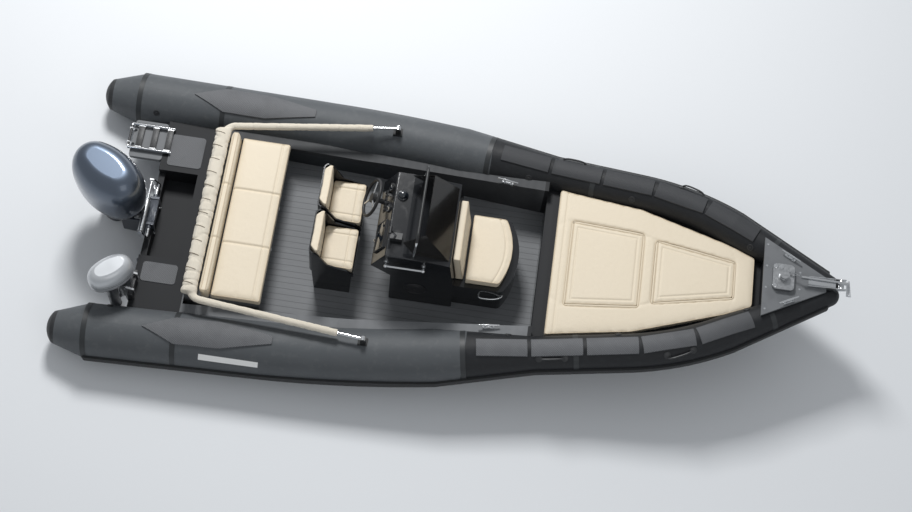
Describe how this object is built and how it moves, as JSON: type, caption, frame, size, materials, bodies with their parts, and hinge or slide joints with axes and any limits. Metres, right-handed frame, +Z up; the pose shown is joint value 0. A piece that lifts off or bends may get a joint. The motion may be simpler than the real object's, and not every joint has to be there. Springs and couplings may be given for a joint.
{
  "type": "inflatable rib boat",
  "caption": "Rigid inflatable boat with a centre console, cream seats and sunpad, a furled sun canopy, a main outboard and an auxiliary one.",
  "frame": {"origin": "on the centreline amidships, at the waterline", "axes": "+X to the bow, +Y to port, +Z up"},
  "size_m": [7.3712, 3.0746, 2.182],
  "materials": {
    "tube_fabric": "satin",
    "hull_gelcoat": "gloss",
    "deck_gelcoat": "satin",
    "console_gelcoat": "gloss",
    "grip_pad": "matt",
    "dark_rubber": "matt",
    "cream_vinyl": "satin",
    "steel": "polished",
    "bracket_paint": "satin",
    "cowl_paint": "gloss",
    "aux_paint": "gloss",
    "alloy": "satin",
    "canvas": "matt",
    "smoked_acrylic": "gloss",
    "black_plastic": "matt"
  },
  "bodies": {
    "boat": {"tube_port": "tube_fabric", "tube_starboard": "tube_fabric", "hull": "hull_gelcoat", "deck_moulding": "deck_gelcoat", "cockpit_sole": "deck_gelcoat", "rubbing_strake_port": "dark_rubber", "rubbing_strake_starboard": "dark_rubber", "step_pads_port": "grip_pad", "step_pads_starboard": "grip_pad", "bow_plate": "deck_gelcoat", "windlass": "steel", "bow_roller": "steel", "anchor": "steel", "mooring_cleats": "steel", "bow_eye": "steel", "stern_eyes": "steel", "sunpad_surround": "cream_vinyl", "sunpad_aft_panel": "cream_vinyl", "sunpad_fore_panel": "cream_vinyl", "bench_base": "deck_gelcoat", "bench_cushion": "cream_vinyl", "bench_backrest": "cream_vinyl", "console": "console_gelcoat", "console_seat_box": "console_gelcoat", "console_seat_cushion": "cream_vinyl", "console_seat_backrest": "cream_vinyl", "windscreen": "smoked_acrylic", "console_rail": "steel", "engine_control": "black_plastic", "helm_seat_base": "console_gelcoat", "helm_cushion_port": "cream_vinyl", "helm_cushion_starboard": "cream_vinyl", "helm_backrest_port": "cream_vinyl", "helm_backrest_starboard": "cream_vinyl", "steering_column": "black_plastic", "swim_platform": "deck_gelcoat", "ladder_lugs": "steel", "bimini_hinges": "dark_rubber", "main_clamp_bracket": "bracket_paint", "aux_board": "black_plastic", "aux_clamp_bracket": "bracket_paint", "stern_deck_pads": "grip_pad", "console_grab_rails": "steel", "dash_instruments": "black_plastic", "helm_shells": "console_gelcoat", "platform_brackets": "steel"},
    "main_bracket": {"main_swivel_bracket": "bracket_paint", "steering_rod": "steel"},
    "main_engine": {"main_leg": "bracket_paint", "main_cowl": "cowl_paint"},
    "main_screw": {"main_propeller": "steel"},
    "ram": {"steering_cylinder": "alloy"},
    "helm_wheel": {"steering_wheel": "black_plastic"},
    "aux_bracket": {"aux_swivel_bracket": "bracket_paint"},
    "aux_engine": {"aux_leg": "bracket_paint", "aux_cowl": "aux_paint"},
    "aux_screw": {"aux_propeller": "alloy"},
    "bimini": {"bimini_frame": "steel", "bimini_sock": "canvas"},
    "ladder": {"boarding_ladder": "steel"}
  },
  "joints": [
    {"name": "main_tilt", "type": "hinge", "parent": "boat", "child": "main_bracket", "pos_m": [-2.53, 0, 0.33], "axis": [0, 1, 0], "range_deg": [0, 64]},
    {"name": "main_steer", "type": "hinge", "parent": "main_bracket", "child": "main_engine", "pos_m": [-2.8, 0, 0.33], "axis": [0, 0, 1], "range_deg": [0, 64]},
    {"name": "main_prop_spin", "type": "hinge", "parent": "main_engine", "child": "main_screw", "pos_m": [-3.0759, 0.1724, -0.59], "axis": [0.848, -0.5299, 0], "continuous": true},
    {"name": "ram_slide", "type": "slide", "parent": "main_bracket", "child": "ram", "axis": [0, 1, 0], "range_m": [0, 0.1908]},
    {"name": "wheel_turn", "type": "hinge", "parent": "boat", "child": "helm_wheel", "pos_m": [-0.45, 0.19, 0.93], "axis": [-0.9063, 0, 0.4226], "range_deg": [-1440, 0]},
    {"name": "aux_tilt", "type": "hinge", "parent": "boat", "child": "aux_bracket", "pos_m": [-2.552, -0.8, 0.474], "axis": [0, 1, 0], "range_deg": [0, 68]},
    {"name": "aux_steer", "type": "hinge", "parent": "aux_bracket", "child": "aux_engine", "pos_m": [-2.66, -0.8, 0.4], "axis": [0, 0, 1], "range_deg": [-90, 10]},
    {"name": "aux_prop_spin", "type": "hinge", "parent": "aux_engine", "child": "aux_screw", "pos_m": [-2.7943, -0.9127, -0.3], "axis": [0.766, 0.6428, 0], "continuous": true},
    {"name": "bimini_swing", "type": "hinge", "parent": "boat", "child": "bimini", "pos_m": [-0.33, 0, 0.6565], "axis": [0, 1, 0], "range_deg": [0, 85]},
    {"name": "ladder_fold", "type": "hinge", "parent": "boat", "child": "ladder", "pos_m": [-2.902, 0.77, 0.359], "axis": [0, -1, 0], "range_deg": [0, 262]}
  ],
  "couplings": [
    {"joint": "ram_slide", "follows": "main_steer", "m_per_rad": 0.17079},
    {"joint": "wheel_turn", "follows": "main_steer", "ratio": -22.5}
  ]
}
